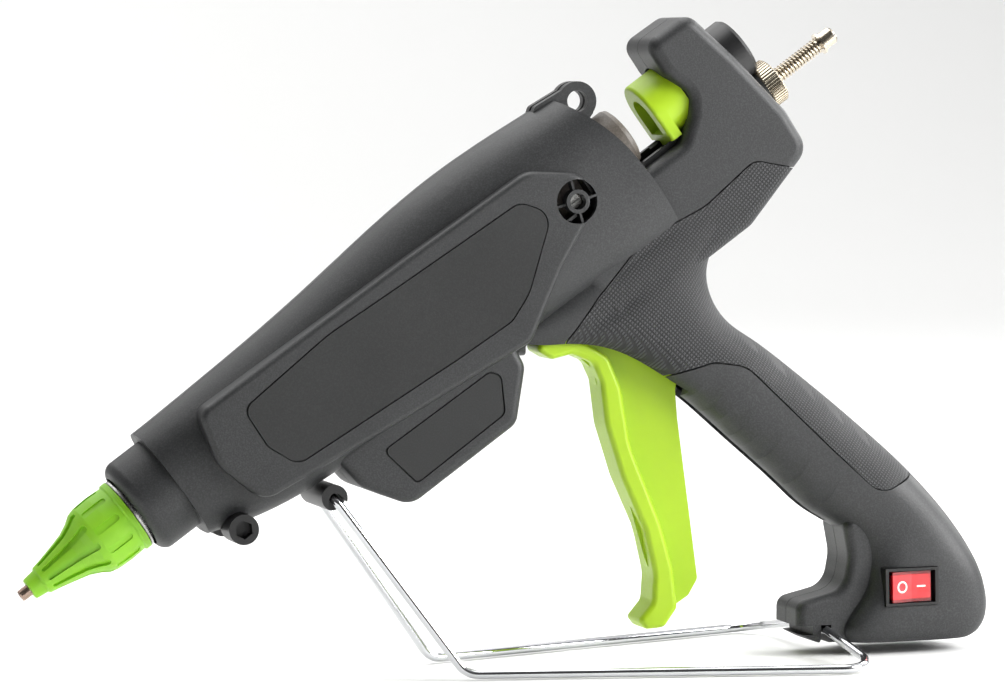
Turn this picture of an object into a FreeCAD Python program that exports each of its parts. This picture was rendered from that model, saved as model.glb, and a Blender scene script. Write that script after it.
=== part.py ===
import FreeCAD, Part
import math
import os

# Trigger-feed hot melt glue gun standing on its wire stand, in millimetres.
# +X runs from the nozzle to the back of the handle base, +Z is up, floor at Z = 0.
# -Y is the gun's left side.  Points written (u, v) are in the barrel plane: u runs
# back along the glue stick's axis, v square to it, both from the nozzle seat.

os.makedirs("parts", exist_ok=True)
V = FreeCAD.Vector

# ---- driving dimensions -------------------------------------------------------
TILT = 35.0             # barrel axis above level when the gun rests on its stand
SEAT_X = -129.0         # nozzle seat centre in the standing frame
SEAT_Z = 57.5
ORIGIN_X = -0.5         # puts X = 0 half way from the nozzle tip to the handle base
STICK_R = 5.6           # 11.2 mm glue stick
WALL = 2.5              # housing wall
PART_GAP = 0.15         # each shell stops this far from the middle plane
BARREL_W = 21.0         # half width of the barrel
BLOCK_W = 15.5          # half width of the rear hook and neck
GRIP_W = 16.0           # half width of the handle
TOE_W = 12.5            # half width of the toe that holds the stand
PANEL_T = 2.2           # side panel stands this far off the barrel
PLATE_T = 1.2           # inset plates
SKIN_T = 1.5            # soft grip skin
GROOVE = 0.5            # shadow groove round inset pieces
WIRE_R = 1.5            # stand wire radius
STAND_U, STAND_V = 56.5, -35.0      # stand pivot
TRIG_U, TRIG_V = 156.0, -27.0       # trigger pivot
LEVER_U, LEVER_V = 178.0, -39.5     # feed lever pivot
SLOT_Q_U, SLOT_Q_V = 200.0, -52.0   # pin in the trigger's slot
LEVER_ARM = 20.0        # lever pivot to carriage pin
SQUEEZE = 13.6          # the trigger's travel; the lever turns twice as far
LEVER_LEAN = SQUEEZE    # the lever leans back at rest as far as it leans forward at the end
ROD_V = -16.5           # feed rod below the stick axis
ROD_R = 2.0
GAP_U0, GAP_U1 = 204.0, 234.0       # loading gap between barrel and rear hook
GAP_FLOOR = -12.0
SCREW_U, SCREW_V = 179.4, -4.2      # guide screw, one each side
SCREW_SEAT = 9.0        # housing screw heads seat this far right of the middle
PLUG_U, PLUG_V = 25.2, -23.4        # front boss plug
NOTCH_X, NOTCH_Z = 109.2, 8.6       # stand crossbar in the toe
SWITCH_X, SWITCH_Z = 137.7, 22.8    # rocker switch


# ---- frames and primitives ----------------------------------------------------
def tilt(shape):
    """Barrel plane to standing frame."""
    s = shape.copy()
    s.rotate(V(0, 0, 0), V(0, 1, 0), -TILT)
    s.translate(V(SEAT_X, 0, SEAT_Z))
    return s


def cyl_u(r, u0, u1, v=0.0, y=0.0):
    return Part.makeCylinder(r, u1 - u0, V(u0, y, v), V(1, 0, 0))


def cyl_y(r, u, v, y0, y1):
    return Part.makeCylinder(r, y1 - y0, V(u, y0, v), V(0, 1, 0))


def cyl_z(r, x, y, z0, z1):
    return Part.makeCylinder(r, z1 - z0, V(x, y, z0), V(0, 0, 1))


def box(x0, x1, y0, y1, z0, z1):
    return Part.makeBox(x1 - x0, y1 - y0, z1 - z0, V(x0, y0, z0))


def fuse(shapes):
    out = shapes[0]
    for s in shapes[1:]:
        out = out.fuse(s)
    return out.removeSplitter()


def cut(shape, tools):
    return shape.cut(tools)


def mirror(shape):
    return shape.mirror(V(0, 0, 0), V(0, 1, 0))


def outline(points, y=0.0):
    """Closed smooth outline through the points."""
    c = Part.BSplineCurve()
    c.interpolate(Points=[V(a, y, b) for a, b in points], PeriodicFlag=True)
    return Part.Wire([c.toShape()])


def corners(points, r, y=0.0):
    """Closed polygon with every corner rounded to r, or to its own third value."""
    n = len(points)
    edges = []
    ends = []
    for i in range(n):
        p, a, b = points[i], points[i - 1], points[(i + 1) % n]
        rad = p[2] if len(p) > 2 else r
        p, a, b = V(p[0], y, p[1]), V(a[0], y, a[1]), V(b[0], y, b[1])
        d0 = (a - p).normalize()
        d1 = (b - p).normalize()
        half = d0.getAngle(d1) / 2
        back = rad / math.tan(half)
        mid = (d0 + d1).normalize()
        t0 = p + d0 * back
        t1 = p + d1 * back
        m = p + mid * (rad / math.sin(half) - rad)
        ends.append((t0, m, t1))
    for i in range(n):
        t0, m, t1 = ends[i]
        edges.append(Part.Arc(t0, m, t1).toShape())
        nxt = ends[(i + 1) % n][0]
        if t1.distanceToPoint(nxt) > 1e-4:
            edges.append(Part.LineSegment(t1, nxt).toShape())
    return Part.Wire(Part.__sortEdges__(edges))


def slab(wire, y0, y1):
    """Outline in the Y = 0 plane pulled from y0 to y1."""
    f = Part.Face(wire)
    f.translate(V(0, y0, 0))
    return f.extrude(V(0, y1 - y0, 0))


def soft_slab(wire, w, r):
    """Outline pulled to +-w with both rims rounded."""
    s = slab(wire, -w, w)
    rims = [e for e in s.Edges if abs(abs(e.CenterOfMass.y) - w) < 1e-3
            and abs(e.BoundBox.YMax - e.BoundBox.YMin) < 1e-3]
    return s.makeFillet(r, rims)


def ring_points(mid, half, w, n_top, n_bot, count=28):
    """Points round a soft-cornered section: (y, height)."""
    out = []
    for i in range(count):
        t = 2 * math.pi * i / count
        c, s = math.cos(t), math.sin(t)
        n = n_top if s > 0 else n_bot
        y = w * math.copysign(abs(c) ** (2 / n), c)
        out.append((y, mid + half * math.copysign(abs(s) ** (2 / n), s)))
    return out


def loft(wires):
    return Part.makeLoft(wires, True, False)


def closed(points):
    c = Part.BSplineCurve()
    c.interpolate(Points=points, PeriodicFlag=True)
    return Part.Wire([c.toShape()])


# ---- housing volumes ----------------------------------------------------------
BARREL = [  # u, top, bottom, half width
    (17, 20.0, -20.5, 17.6), (34, 20.4, -26.0, 19.4), (60, 21.4, -30.0, 20.4),
    (90, 23.4, -31.0, 21.0), (120, 26.4, -32.0, 21.0), (145, 27.9, -33.2, 21.0),
    (172, 27.0, -35.0, 21.0), (208, 24.6, -37.0, 20.0)]

HANDLE = [  # v, front u, back u, half width
    (-30, 132, 254, 14.0), (-36.5, 135, 250, 16.0), (-41, 142, 246, 16.2),
    (-46, 151, 222, 16.4), (-52, 158.5, 208, 16.6), (-61, 165, 202.8, 16.4),
    (-72, 170, 202.4, 16.0), (-84, 174.6, 206.6, 15.8), (-98, 178, 211.0, 15.8),
    (-112, 181.2, 215.0, 15.8), (-128, 184.8, 219.2, 15.8), (-142, 188, 222.6, 15.8)]

BASE = [  # standing frame: front x, z, back x, z, half width, squareness
    (119.5, 40.5, 147.4, 56.0, 16.2, 2.7), (124.0, 30.5, 157.6, 43.0, 17.6, 3.2),
    (123.0, 21.5, 164.6, 30.0, 19.0, 4.4), (118.0, 14.0, 168.0, 17.5, 19.5, 4.8),
    (115.0, 8.0, 166.6, 8.4, 19.2, 4.8), (117.0, 3.9, 161.5, 3.9, 17.2, 4.4)]


def barrel_volume(inset=0.0, u1=208.0):
    wires = []
    for u, top, bot, w in BARREL:
        u = min(u, u1)
        h = (top - bot) / 2 - inset
        ring = ring_points((top + bot) / 2, h, w - inset, 2.5, 3.0)
        wires.append(closed([V(u, y, v) for y, v in ring]))
    return loft(wires)


def handle_volume(inset=0.0):
    """Handle and its base in one sweep of sections that turn from the barrel's lean to level."""
    rows = [(u0, v, u1, v, w, 2.5) for v, u0, u1, w in HANDLE]
    c, s = math.cos(math.radians(TILT)), math.sin(math.radians(TILT))
    for x0, z0, x1, z1, w, n in BASE:
        ends = []
        for x, z in ((x0, z0), (x1, z1)):
            dx, dz = x - SEAT_X, max(z, 3.9 + inset) - SEAT_Z
            ends += [dx * c + dz * s, dz * c - dx * s]
        rows.append((*ends, w, n))
    wires = []
    for u0, v0, u1, v1, w, n in rows:
        a, b = V(u0, 0, v0), V(u1, 0, v1)
        way = (b - a).normalize()
        mid, half = (a + b) * 0.5, (b - a).Length / 2 - inset
        wires.append(closed([mid + way * t + V(0, y, 0)
                             for y, t in ring_points(0, half, w - inset, n, n)]))
    return loft(wires)


def block_outline(d=0.0):
    """Neck and rear hook; d draws the outline inwards."""
    return corners([
        (168 + d, -8 - d, 4), (GAP_U0 + 2, GAP_FLOOR - d, 3), (222, GAP_FLOOR - d, 5),
        (GAP_U1 - 4 + d, GAP_FLOOR + 6, 5), (GAP_U1 + d, 0, 6), (230.6 + d, 10, 5),
        (231 + d, 22.5 - d, 4.5), (249.5 - d, 22 - d, 5), (254.5 - d, 0, 20),
        (258.4 - d, -25, 10), (257.5 - d, -40 + d, 7), (226, -49 + d, 10),
        (168 + d, -49 + d, 4)], 3)


def block_volume(d=0.0):
    if d:
        return slab(block_outline(d), -BLOCK_W + d, BLOCK_W - d)
    return soft_slab(block_outline(), BLOCK_W, 3.8)


def pod_outline(d=0.0):
    return corners([
        (64.5 + d, -24, 2), (66.0 + d, -38, 8), (76 + d, -53.2 + d, 8),
        (121 - d, -53.2 + d, 6), (134.6 - d, -39.5, 5), (136.5 - d, -26, 2)], 3)


def pod_volume(d=0.0):
    if d:
        return slab(pod_outline(d), -15.5 + d, 15.5 - d)
    return soft_slab(pod_outline(), 15.5, 3.0)


def collar_volume():
    c = cyl_u(17.0, 1.6, 40)
    rim = [e for e in c.Edges if abs(e.CenterOfMass.x - 1.6) < 1e-3]
    return c.makeFillet(4.0, rim)


def toe_volume():
    """Narrow toe under the handle, hooked over the stand."""
    return soft_slab(corners([
        (116, 46, 3), (118.2, 33, 14), (116, 22, 8), (99.2, 18.2, 4), (99.0, 8.0, 3),
        (107, 4.0, 5), (138, 4.0, 3), (140, 46, 3)], 3), TOE_W, 3.0)


def rear_trim(shape, back):
    """Round the back of the barrel to the sloping loading face."""
    p = Part.BSplineCurve()
    p.interpolate([V(192 + back, -30, 34), V(196.5 + back, -30, 24), V(201.5 + back, -30, 12),
                   V(204.5 + back, -30, 0), V(205.6 + back, -30, -12), V(206 + back, -30, -40)])
    a, b = p.StartPoint, p.EndPoint
    far0, far1 = V(230, -30, a.z), V(230, -30, b.z)
    w = Part.Wire([p.toShape(), Part.makeLine(b, far1), Part.makeLine(far1, far0),
                   Part.makeLine(far0, a)])
    return shape.cut(Part.Face(w).extrude(V(0, 60, 0)))


def outer_volume():
    barrel = rear_trim(barrel_volume(), 0)
    gun = fuse([barrel, collar_volume(), pod_volume(), handle_volume(), block_volume()])
    return tilt(gun).fuse(toe_volume())


def inner_volume():
    barrel = rear_trim(barrel_volume(WALL), -WALL)
    barrel = barrel.cut(box(0, 20, -40, 40, -60, 60))
    gun = fuse([barrel, pod_volume(WALL), block_volume(WALL), handle_volume(WALL)])
    return tilt(gun)


# ---- side panel and inset outlines --------------------------------------------
def panel_outline(d=0.0):
    return corners([
        (30.5 + d, -1, 14), (35.5 + d, 16.6 - d, 5), (120, 15.8 - d, 60), (171, 14.4 - d, 10),
        (187 - d, 2, 8), (184 - d, -9, 12), (163, -18.6 + d, 30), (139.5, -32.4 + d, 7),
        (88, -26.8 + d, 60), (36 + d, -20.0 + d, 8)], 5)


def badge_outline(d=0.0):
    return corners([
        (48.3 - d, 8.6 + d, 4), (85, 11.2 + d, 60), (114, 9.6 + d, 60), (163, 7.4 + d, 6),
        (169.6 + d, -2, 6), (148, -18.5 - d, 20), (138, -22.4 - d, 8), (116, -21.4 - d, 60),
        (52, -16.6 - d, 6), (47.6 - d, -6, 6)], 5)


def pod_plate_outline(d=0.0):
    return corners([
        (79 - d, -32.6 + d, 2), (82 - d, -47.8 - d, 2), (119 + d, -47.4 - d, 3),
        (125.5 + d, -36.6, 3), (123 + d, -33.4 + d, 2)], 2)


def grip_outline(d=0.0):
    """Textured skin on each side of the handle."""
    return corners([
        (150, -43 + d, 2), (168, -36.2 + d, 10), (192, -30 + d, 18), (216, -33.8 + d, 20),
        (239, -31.6 + d, 6), (250, -43 + d, 3), (262, -60, 5), (236, -150, 5),
        (222, -152.6 - d, 6), (209, -150 - d, 8), (204.5 - d, -128, 40), (196.5 - d, -86, 12),
        (188 - d, -77.6 - d, 8), (160, -68 - d, 4)], 3)


PANEL_Y = BARREL_W + PANEL_T


def side_panel():
    """Raised panel, left side."""
    p = slab(panel_outline(), -PANEL_Y, -12)
    rim = [e for e in p.Edges if abs(e.CenterOfMass.y + PANEL_Y) < 1e-3
           and abs(e.BoundBox.YMax - e.BoundBox.YMin) < 1e-3]
    return p.makeFillet(2.0, rim)


def hang_ear():
    plate = Part.makeCylinder(6.6, 3.6, V(203.2, -4.6, 19.4), V(0, 1, 0))
    root = slab(corners([(184, 22, 1), (190, 26.6, 2), (203.4, 25.3, 0.5), (205.5, 13, 0.5),
                         (196, 10, 1)], 1), -4.6, -1.0)
    return plate.fuse(root).cut(cyl_y(3.6, 203.2, 19.4, -8, 0))


BOSSES = [(44, -22), (146, 22.4), (124, -44), (247, -30), (240, 17.6), (201, -90),
          (214, -136)]        # screw lines square to the middle plane, clear of the works


def half_shell():
    """Everything the two shells share, on the left side."""
    keep = box(-260, 260, -60, -PART_GAP, -60, 360)
    outer, inner = outer_volume().common(keep), inner_volume()
    shell = outer.fuse([tilt(side_panel()), tilt(hang_ear())]).cut(inner)
    inside = [tilt(p) for p in boss_posts() + support_ribs()]
    shell = shell.fuse([p.common(outer) for p in inside])
    return shell.cut([tilt(t) for t in gun_cuts()] + floor_cuts())


def boss_posts():
    return [cyl_y(3.4, u, v, -14.2, -PART_GAP) for u, v in BOSSES]


def support_ribs():
    """Webs that hold the hot parts, the guides and the pins."""
    ribs = [box(u, u + 2, -20, -PART_GAP, -18, 22) for u in (30, 92)]
    ribs += [box(u, u + 2, -20, -PART_GAP, -13, 26) for u in (152, 186)]
    ribs += [box(236.6, 252, -15, -PART_GAP, -24, -11)]
    ribs += [cyl_y(5.0, TRIG_U, TRIG_V, -20, -4.3), cyl_y(5.0, LEVER_U, LEVER_V, -16, -6.0)]
    ribs += [cyl_y(6.4, STAND_U, STAND_V + 2, -15, -PART_GAP)]
    ribs += [cyl_y(7.0, PLUG_U, PLUG_V, -19, -8)]
    return ribs


def gun_cuts():
    """Openings both shells share, in the barrel plane."""
    tools = [cyl_u(13.4, -5, 19), cyl_u(12.2, 18, 97), cyl_u(9.2, 90, 155)]
    tools += [cyl_u(11.1, 149, 215), cyl_u(12.8, 214, 237), cyl_u(11.5, 230, 262)]
    tools += [cyl_u(2.3, 215, 262, ROD_V), cyl_u(8.6, 256.2, 264, ROD_V)]
    tools += [cyl_y(1.55, TRIG_U, TRIG_V, -12, 0), cyl_y(1.55, LEVER_U, LEVER_V, -12, 0)]
    tools += [cyl_y(6.8, TRIG_U, TRIG_V, -4.3, 0)]
    tools += [cyl_y(4.45, STAND_U, STAND_V, -30, 0), cyl_y(5.2, PLUG_U, PLUG_V, -40, -9)]
    tools += [slab(badge_outline(GROOVE), -40, -PANEL_Y + PLATE_T)]
    tools += [slab(pod_plate_outline(GROOVE), -40, -15.5 + PLATE_T)]
    tools += [trigger_bay(), web_slot(), carriage_bay(), tray_seat(), guide_screw_recess()]
    tools += [cyl_y(1.3, u, v, -12, 0) for u, v in BOSSES]
    tools += [grip_skin(GROOVE)]
    return tools


def trigger_bay():
    """Mouth the trigger's broad bar swings into."""
    return slab(corners([(150.8, -31, 2), (176, -34, 3), (181, -70, 3), (177, -81, 1),
                         (160, -92, 1), (132, -60, 2), (139.4, -35.4, 1)], 1), -9.6, 0)


def web_slot():
    """Narrow slot down the handle front for the trigger's web."""
    return slab(corners([(160, -60, 2), (206, -44, 3), (199, -88, 3), (193, -148, 1),
                         (180, -156, 1)], 2), -3.0, 0)


def carriage_bay():
    return box(158, 236.8, -5.6, 0, -23.6, -11.6)


def tray_seat():
    return box(206, 232, -8.6, 0, -14.6, -8).fuse(box(229, 236.8, -8.6, 0, -14.6, -13))


def guide_screw_recess():
    """Crescent recess with four webs round the guide screw's tube."""
    ring = cyl_y(7.4, SCREW_U, SCREW_V, -40, -PANEL_Y + 5.5)
    ring = ring.cut(cyl_y(4.0, SCREW_U, SCREW_V, -40, 0))
    for a in (20, 110, 200, 290):
        web = box(3, 9, -PANEL_Y + 1.4, 0, -0.4, 0.4)
        web.rotate(V(0, 0, 0), V(0, 1, 0), a)
        web.translate(V(SCREW_U, 0, SCREW_V))
        ring = ring.cut(web)
    return ring.fuse(cyl_y(2.7, SCREW_U, SCREW_V, -40, -16)).fuse(
        cyl_y(1.6, SCREW_U, SCREW_V, -17, -10))


def floor_cuts():
    """Openings of the handle base in the standing frame."""
    slot = box(90, 104.6, -40, 0, 7.0, 10.3)
    groove = box(NOTCH_X - 1.8, NOTCH_X + 1.8, -40, 0, -2, NOTCH_Z + 1.7)
    return [slot, groove, box(148, 175, -12.2, 0, 14.4, 30.0)]


def grip_skin(grow=0.0):
    """Soft textured skin on the left of the handle, or its seat when grown."""
    body = handle_volume().fuse(block_volume()).common(slab(grip_outline(grow), -40, 40))
    skin = body.cut([handle_volume(SKIN_T), block_volume(SKIN_T)])
    skin = skin.cut([trigger_bay(), web_slot()])
    skin = skin.common(box(140, 270, -40, 0 if grow else -PART_GAP, -170, -20))
    return max(skin.Solids, key=lambda x: x.Volume)


# ---- housing pieces -------------------------------------------------------------
def left_housing():
    sw = box(SWITCH_X - 9.7, SWITCH_X + 9.7, -30, -10, SWITCH_Z - 6.6, SWITCH_Z + 6.6)
    return HALF.cut(sw)


def head_holes():
    return [tilt(cyl_y(3.1, u, v, SCREW_SEAT + 0.1, 40)) for u, v in BOSSES]


def right_housing():
    shanks = [tilt(cyl_y(1.7, u, v, 0, 12)) for u, v in BOSSES]
    return mirror(HALF).cut(head_holes() + shanks)


def badge_plate():
    return tilt(slab(badge_outline(), -PANEL_Y, -PANEL_Y + PLATE_T))


def pod_plate():
    return tilt(slab(pod_plate_outline(), -15.5, -15.5 + PLATE_T))


def plug():
    """Front boss plug with a hexagon socket."""
    p = cyl_y(5.0, PLUG_U, PLUG_V, -21.8, -9.2)
    hexa = [V(PLUG_U + 3.1 * math.cos(math.radians(a)), -30,
              PLUG_V + 3.1 * math.sin(math.radians(a))) for a in range(0, 361, 60)]
    return tilt(p.cut(Part.Face(Part.makePolygon(hexa)).extrude(V(0, 12, 0))))


def plugs():
    return Part.makeCompound([plug(), mirror(plug())])


def stand_bracket():
    """Cross pin under the barrel with a slotted hook at each end."""
    b = cyl_y(4.4, STAND_U, STAND_V, -15.2, 15.2)
    b = b.cut(cyl_y(WIRE_R + 0.08, STAND_U, STAND_V, -16, 16))
    tools = []
    for y0 in (-16, 11.3):
        for a in range(43, 92, 6):
            s = box(0, 8, y0, y0 + 4.7, -1.9, 1.9)
            s.rotate(V(0, 0, 0), V(0, 1, 0), a + TILT)
            s.translate(V(STAND_U, 0, STAND_V))
            tools.append(s)
    return tilt(b.cut(tools))


def housing_screws():
    out = []
    for u, v in BOSSES:
        head = cyl_y(2.75, u, v, SCREW_SEAT + 0.2, SCREW_SEAT + 2.4)
        slot = box(u - 2, u + 2, SCREW_SEAT + 1.4, SCREW_SEAT + 3, v - 0.4, v + 0.4)
        slot2 = box(u - 0.4, u + 0.4, SCREW_SEAT + 1.4, SCREW_SEAT + 3, v - 2, v + 2)
        s = head.fuse(cyl_y(1.25, u, v, -10, SCREW_SEAT + 0.4)).cut([slot, slot2])
        out.append(tilt(s))
    return Part.makeCompound(out)


def guide_screws():
    s = cyl_y(2.4, SCREW_U, SCREW_V, -18.4, -16.2)
    s = s.fuse(cyl_y(1.3, SCREW_U, SCREW_V, -16.6, -11.2))
    s = s.cut(box(SCREW_U - 1.9, SCREW_U + 1.9, -19, -17.5, SCREW_V - 0.4, SCREW_V + 0.4))
    s = tilt(s)
    return Part.makeCompound([s, mirror(s)])


# ---- hot end and stick path -------------------------------------------------------
def turned(profile):
    """Solid of revolution about the barrel axis from (u, r) points."""
    pts = [V(u, 0, r) for u, r in profile]
    f = Part.Face(Part.makePolygon(pts + [pts[0]]))
    return tilt(f.revolve(V(0, 0, 0), V(1, 0, 0), 360))


def nozzle_cover():
    """Silicone sleeve: lipped flange, ten stadium recesses, ten flutes and a stepped tip."""
    body = turned([(0.0, 12.9), (-1.8, 12.9), (-2.4, 12.3), (-8, 12.6), (-13.5, 12.3),
                   (-16, 11.6), (-18.5, 9.9), (-22, 8.2), (-27, 6.9), (-32, 5.7),
                   (-35.6, 5.0), (-36.2, 4.3), (-40.2, 3.8), (-40.6, 3.4), (-40.6, 2.2),
                   (-31.5, 2.5), (-22.5, 5.4), (-12, 7.8), (-4, 8.2), (0.0, 8.2)])
    belt = turned([(-14.2, 11.2), (-16, 10.4), (-18.5, 8.8), (-22, 7.1), (-27, 5.8),
                   (-32, 4.6), (-34.4, 4.3), (-34.4, 20), (-14.2, 20)])
    recess = slab(corners([(-4, -1.25, 1.1), (-4, 1.25, 1.1), (-13.4, 1.25, 1.1),
                           (-13.4, -1.25, 1.1)], 1.1), -20, -11.9)
    flute = slab(corners([(-14.6, -1.35, 1), (-14.6, 1.35, 1), (-34, 0.7, 0.6),
                          (-34, -0.7, 0.6)], 0.6), -20, -2)
    recesses, flutes = [], []
    for k in range(10):
        for shape, out, extra in ((recess, recesses, 18), (flute, flutes, 0)):
            t = shape.copy()
            t.rotate(V(0, 0, 0), V(1, 0, 0), 36 * k + extra)
            out.append(tilt(t))
    return body.cut(recesses + [f.common(belt) for f in flutes])


def nozzle():
    return turned([(-44.4, 1.0), (-44.4, 1.7), (-43.9, 2.0), (-31, 2.1), (-22.5, 4.9),
                   (-13, 7.2), (0.4, 7.2), (0.4, 5.0), (11.8, 5.0), (11.8, 2.6),
                   (-24, 2.4), (-33, 1.0)])


def front_ring():
    return turned([(0.3, 8.4), (0.3, 12.7), (1.0, 12.7), (1.0, 10.6), (2.2, 10.6),
                   (2.2, 8.4)])


def melt_chamber():
    c = turned([(0.6, 5.1), (0.6, 8.0), (2.4, 8.0), (2.4, 9.5), (96, 9.5), (96, 5.9),
                (22, 5.9), (14, 3.4), (12.4, 3.4), (12.4, 5.1)])
    block = tilt(box(36, 84, -7.6, 7.6, -16.4, -7.6)).cut(
        [tilt(cyl_u(7, 30, 90)), tilt(cyl_u(3.1, 30, 90, -12.4, -3.7)),
         tilt(cyl_u(3.1, 30, 90, -12.4, 3.7))])
    return c.fuse(block).removeSplitter()


def heaters():
    rods = [tilt(cyl_u(3.0, 34, 88, -12.4, y)) for y in (-3.7, 3.7)]
    return Part.makeCompound(rods)


def thermal_cutout():
    return tilt(box(54, 68, -3.6, 3.6, 9.6, 13.6))


def chamber_rings():
    a = turned([(28.5, 9.6), (28.5, 12.0), (33.5, 12.0), (33.5, 9.6)])
    b = turned([(90.5, 9.6), (90.5, 12.0), (95.5, 12.0), (95.5, 9.6)])
    return Part.makeCompound([a, b])


def inlet_seal():
    return turned([(96.2, 5.8), (96.2, 8.9), (100, 8.9), (100, 8.2), (112, 8.2),
                   (112, 5.8)])


def front_guide():
    g = turned([(112.2, 6.0), (112.2, 8.3), (152, 8.3), (152, 10.8), (208.6, 10.8),
                (210.0, 10.2), (210.6, 8.8), (210.6, 8.0), (208.6, 6.2), (206, 6.0)])
    return g.cut([tilt(cyl_y(1.35, SCREW_U, SCREW_V, -14, 14)).cut(tilt(cyl_u(7, 150, 210)))])


def rear_guide():
    g = turned([(238.2, 6.1), (238.2, 11.3), (259.6, 11.3), (260.8, 10.4), (260.8, 8.4),
                (258.6, 6.1)])
    return g.cut(tilt(cyl_u(8.9, 255.8, 264, ROD_V)))


def feed_tray():
    """Black trough in the floor of the loading gap, open down the middle."""
    rails = box(207, 231, -8.4, 8.4, -14.4, -10.1).cut(
        [cyl_u(11.4, 200, 211.6), cyl_u(12.6, 217, 240)])
    tail = box(230, 236.6, -8.4, 8.4, -14.4, -13.2)
    return tilt(rails.fuse(tail).cut(box(200, 234.6, -6.2, 6.2, -16, -8)))


# ---- moving works -----------------------------------------------------------------
def trigger():
    bar = corners([
        (141.8, -38.6, 2), (144.6, -44.8, 2), (151.4, -47.6, 3), (155.2, -54, 4),
        (153.8, -61, 6), (146.6, -74, 20), (140.6, -92, 30), (136.6, -111, 12),
        (130.4, -125.4, 12), (124.4, -132.6, 4), (117.0, -134.4, 1.6),
        (117.4, -138.6, 2), (123, -142, 3), (130.6, -139.4, 3), (137.2, -127.4, 6),
        (142.6, -113, 12), (149.4, -85.3, 30), (158.4, -67, 10), (161, -56, 5),
        (157.4, -46.8, 4), (150.6, -36.8, 1.5)], 2)
    bar = soft_slab(bar, 8.0, 1.9)
    web = slab(corners([
        (151.2, -22.4, 4), (160, -22.2, 4), (203.4, -46.6, 4), (201.8, -55.8, 4),
        (174.2, -80.2, 2), (169.2, -88.4, 1), (142.9, -137, 2.5), (137, -139.6, 2),
        (128, -139.2, 1), (132, -120, 1), (148, -76, 1), (155, -57, 1),
        (152, -44, 1)], 1), -2.5, 2.5)
    hub = cyl_y(5.0, TRIG_U, TRIG_V, -4.0, 4.0)
    slots = [cyl_y(1.56, TRIG_U, TRIG_V, -9, 9)]
    for k in range(9):
        a = math.radians(-29.6 + 1.2 - 2.0 * k)
        r = math.hypot(LEVER_U - TRIG_U, LEVER_V - TRIG_V)
        slots.append(cyl_y(2.0, TRIG_U + r * math.cos(a), TRIG_V + r * math.sin(a), -3, 3))
    for k in range(9):
        slots.append(cyl_y(1.95, *crank_pin(k / 8), -3, 3))
    return tilt(bar.fuse([web, hub]).removeSplitter().cut(slots))


def crank_pin(q):
    """Lever's lower pin as the trigger sees it, q of the way through the squeeze."""
    a, b = math.radians(2 * SQUEEZE * q), math.radians(-SQUEEZE * q)
    u, v = SLOT_Q_U - LEVER_U, SLOT_Q_V - LEVER_V
    u, v = (LEVER_U - TRIG_U + u * math.cos(a) - v * math.sin(a),
            LEVER_V - TRIG_V + u * math.sin(a) + v * math.cos(a))
    return (TRIG_U + u * math.cos(b) - v * math.sin(b),
            TRIG_V + u * math.sin(b) + v * math.cos(b))


def lever_pins():
    lean = math.radians(LEVER_LEAN)
    t = (LEVER_U + LEVER_ARM * math.sin(lean), LEVER_V + LEVER_ARM * math.cos(lean))
    return t, (SLOT_Q_U, SLOT_Q_V)


def feed_lever():
    """Twin-plate bell crank from the trigger's web up to the feed carriage."""
    t, q = lever_pins()
    plate = corners([(t[0] - 3, t[1] + 3, 2.8), (t[0] + 3, t[1] + 3, 2.8),
                     (LEVER_U + 8, LEVER_V + 1, 4), (q[0] + 4, q[1] + 2.4, 2.4),
                     (q[0] - 0.4, q[1] - 4.0, 2.6), (LEVER_U - 4.6, LEVER_V - 4.6, 4)], 2.6)
    out = [slab(plate, 3.2, 5.0), slab(plate, -5.0, -3.2)]
    out += [cyl_y(1.5, t[0], t[1], -4.4, 4.4), cyl_y(1.5, q[0], q[1], -4.4, 4.4)]
    return tilt(fuse(out).cut(cyl_y(1.56, LEVER_U, LEVER_V, -9, 9)))


def feed_carriage():
    """Bar that slides under the stick and carries the gripper."""
    t, q = lever_pins()
    bar = box(178.2, 229, -2.8, 2.8, -22.8, -12.2).fuse(box(200, 229, -4.9, 4.9, -22.8, -12.2))
    bar = bar.cut([box(t[0] - 1.75, t[0] + 1.75, -4, 4, -24, -16.6),
                   box(177, 181.2, -4, 4, -24, -21.2),
                   cyl_u(ROD_R + 0.05, 212, 240, ROD_V)])
    return tilt(bar)


def gripper():
    """Yoke arched over the stick on a stem that reaches down to the carriage."""
    arch = cyl_u(12.0, 220.4, 233.2).fuse(box(220.4, 233.2, -12, 12, -12, 0)).removeSplitter()
    rims = [e for e in arch.Edges if abs(e.CenterOfMass.x - 220.4) < 1e-3]
    arch = arch.makeFillet(1.2, rims)
    arch = arch.cut([cyl_u(6.5, 200, 240), box(200, 240, -6.5, 6.5, -7.4, 0)])
    arch = arch.cut([cyl_u(8.6, 224.5, 230), box(210, 240, -20, 20, -14, -9.8)])
    arch = arch.cut(box(224.5, 240, -20, 20, -14, 20).cut(cyl_u(12.0, 210, 250)))
    stem = box(221, 228.6, -4.7, 4.7, -12.1, -7.4)
    return tilt(arch.fuse(stem).cut(cyl_u(2.1, 224.6, 230, -7.6)))


def coil(r, wire, pitch, turns, u0, v, y=0.0):
    """Spring of round wire along the barrel axis."""
    h = Part.makeHelix(pitch, pitch * turns, r)
    sec = Part.Wire([Part.makeCircle(wire, V(r, 0, 0), V(0, 1, 0))])
    s = Part.Wire(h).makePipeShell([sec], True, True)
    s.rotate(V(0, 0, 0), V(0, 1, 0), 90)
    s.translate(V(u0, y, v))
    return tilt(s)


def gripper_spring():
    return coil(1.5, 0.3, 1.0, 4, 225.2, -7.6)


def feed_rod():
    return tilt(cyl_u(ROD_R, 213, 286.2, ROD_V))


def end_washer():
    return turned_at([(284.8, 2.05), (284.8, 3.9), (285.6, 3.9), (285.6, 2.05)])


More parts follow.
